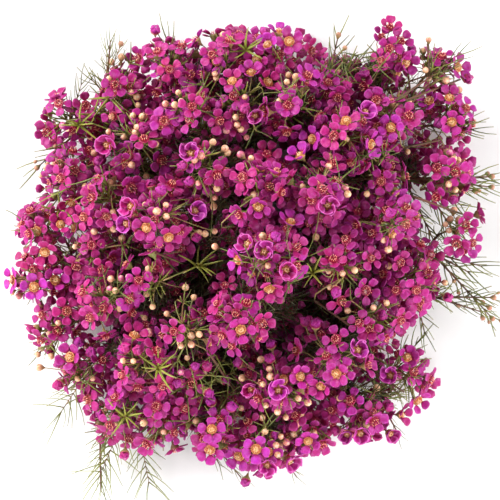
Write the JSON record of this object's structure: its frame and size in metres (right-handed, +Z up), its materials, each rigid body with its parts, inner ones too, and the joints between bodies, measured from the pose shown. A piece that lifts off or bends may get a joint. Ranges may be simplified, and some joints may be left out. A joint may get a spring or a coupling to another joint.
{
  "type": "waxflower stem",
  "caption": "Cut woody waxflower stem lying down, its side branches ending in domed heads of small magenta flowers with buds and needle leaves.",
  "frame": {"origin": "on the surface that the stem lies on, under the middle of its bounding box", "axes": "+Z up from the surface, +Y along the lying main stem from its cut end towards its tip, +X to the right of that seen from above"},
  "size_m": [0.247, 0.2506, 0.0942],
  "materials": {
    "bark": "thin brown-red bark",
    "flower": "waxy magenta petals round a crimson or yellow cup",
    "foliage": "satin green needle leaves"
  },
  "bodies": {
    "root": {"main_stem": "bark", "side_branch_01": "bark", "side_branch_02": "bark", "side_branch_03": "bark", "side_branch_04": "bark", "side_branch_05": "bark", "side_branch_06": "bark", "side_branch_07": "bark", "flower_head_01": "flower", "flower_head_02": "flower", "flower_head_03": "flower", "flower_head_04": "flower", "flower_head_05": "flower", "flower_head_06": "flower", "flower_head_07": "flower", "flower_head_08": "flower", "flower_head_09": "flower", "flower_head_10": "flower", "flower_head_11": "flower", "flower_head_12": "flower", "flower_head_13": "flower", "flower_head_14": "flower", "flower_head_15": "flower", "flower_head_16": "flower", "flower_head_17": "flower", "flower_head_18": "flower", "flower_head_19": "flower", "flower_head_20": "flower", "flower_head_21": "flower", "flower_head_22": "flower", "flower_head_23": "flower", "flower_head_24": "flower", "flower_head_25": "flower", "flower_head_26": "flower", "flower_head_27": "flower", "flower_head_28": "flower", "flower_head_29": "flower", "flower_head_30": "flower", "flower_head_31": "flower", "flower_head_32": "flower", "flower_head_33": "flower", "flower_head_34": "flower", "flower_head_35": "flower", "flower_head_36": "flower", "flower_head_37": "flower", "flower_head_38": "flower", "flower_head_39": "flower", "flower_head_40": "flower", "flower_head_41": "flower", "flower_head_42": "flower", "flower_head_43": "flower", "flower_head_44": "flower", "flower_head_45": "flower", "flower_head_46": "flower", "flower_head_47": "flower", "flower_head_48": "flower", "flower_head_49": "flower", "leafy_shoot_01": "foliage", "leafy_shoot_02": "foliage", "leafy_shoot_03": "foliage"}
  },
  "joints": []
}
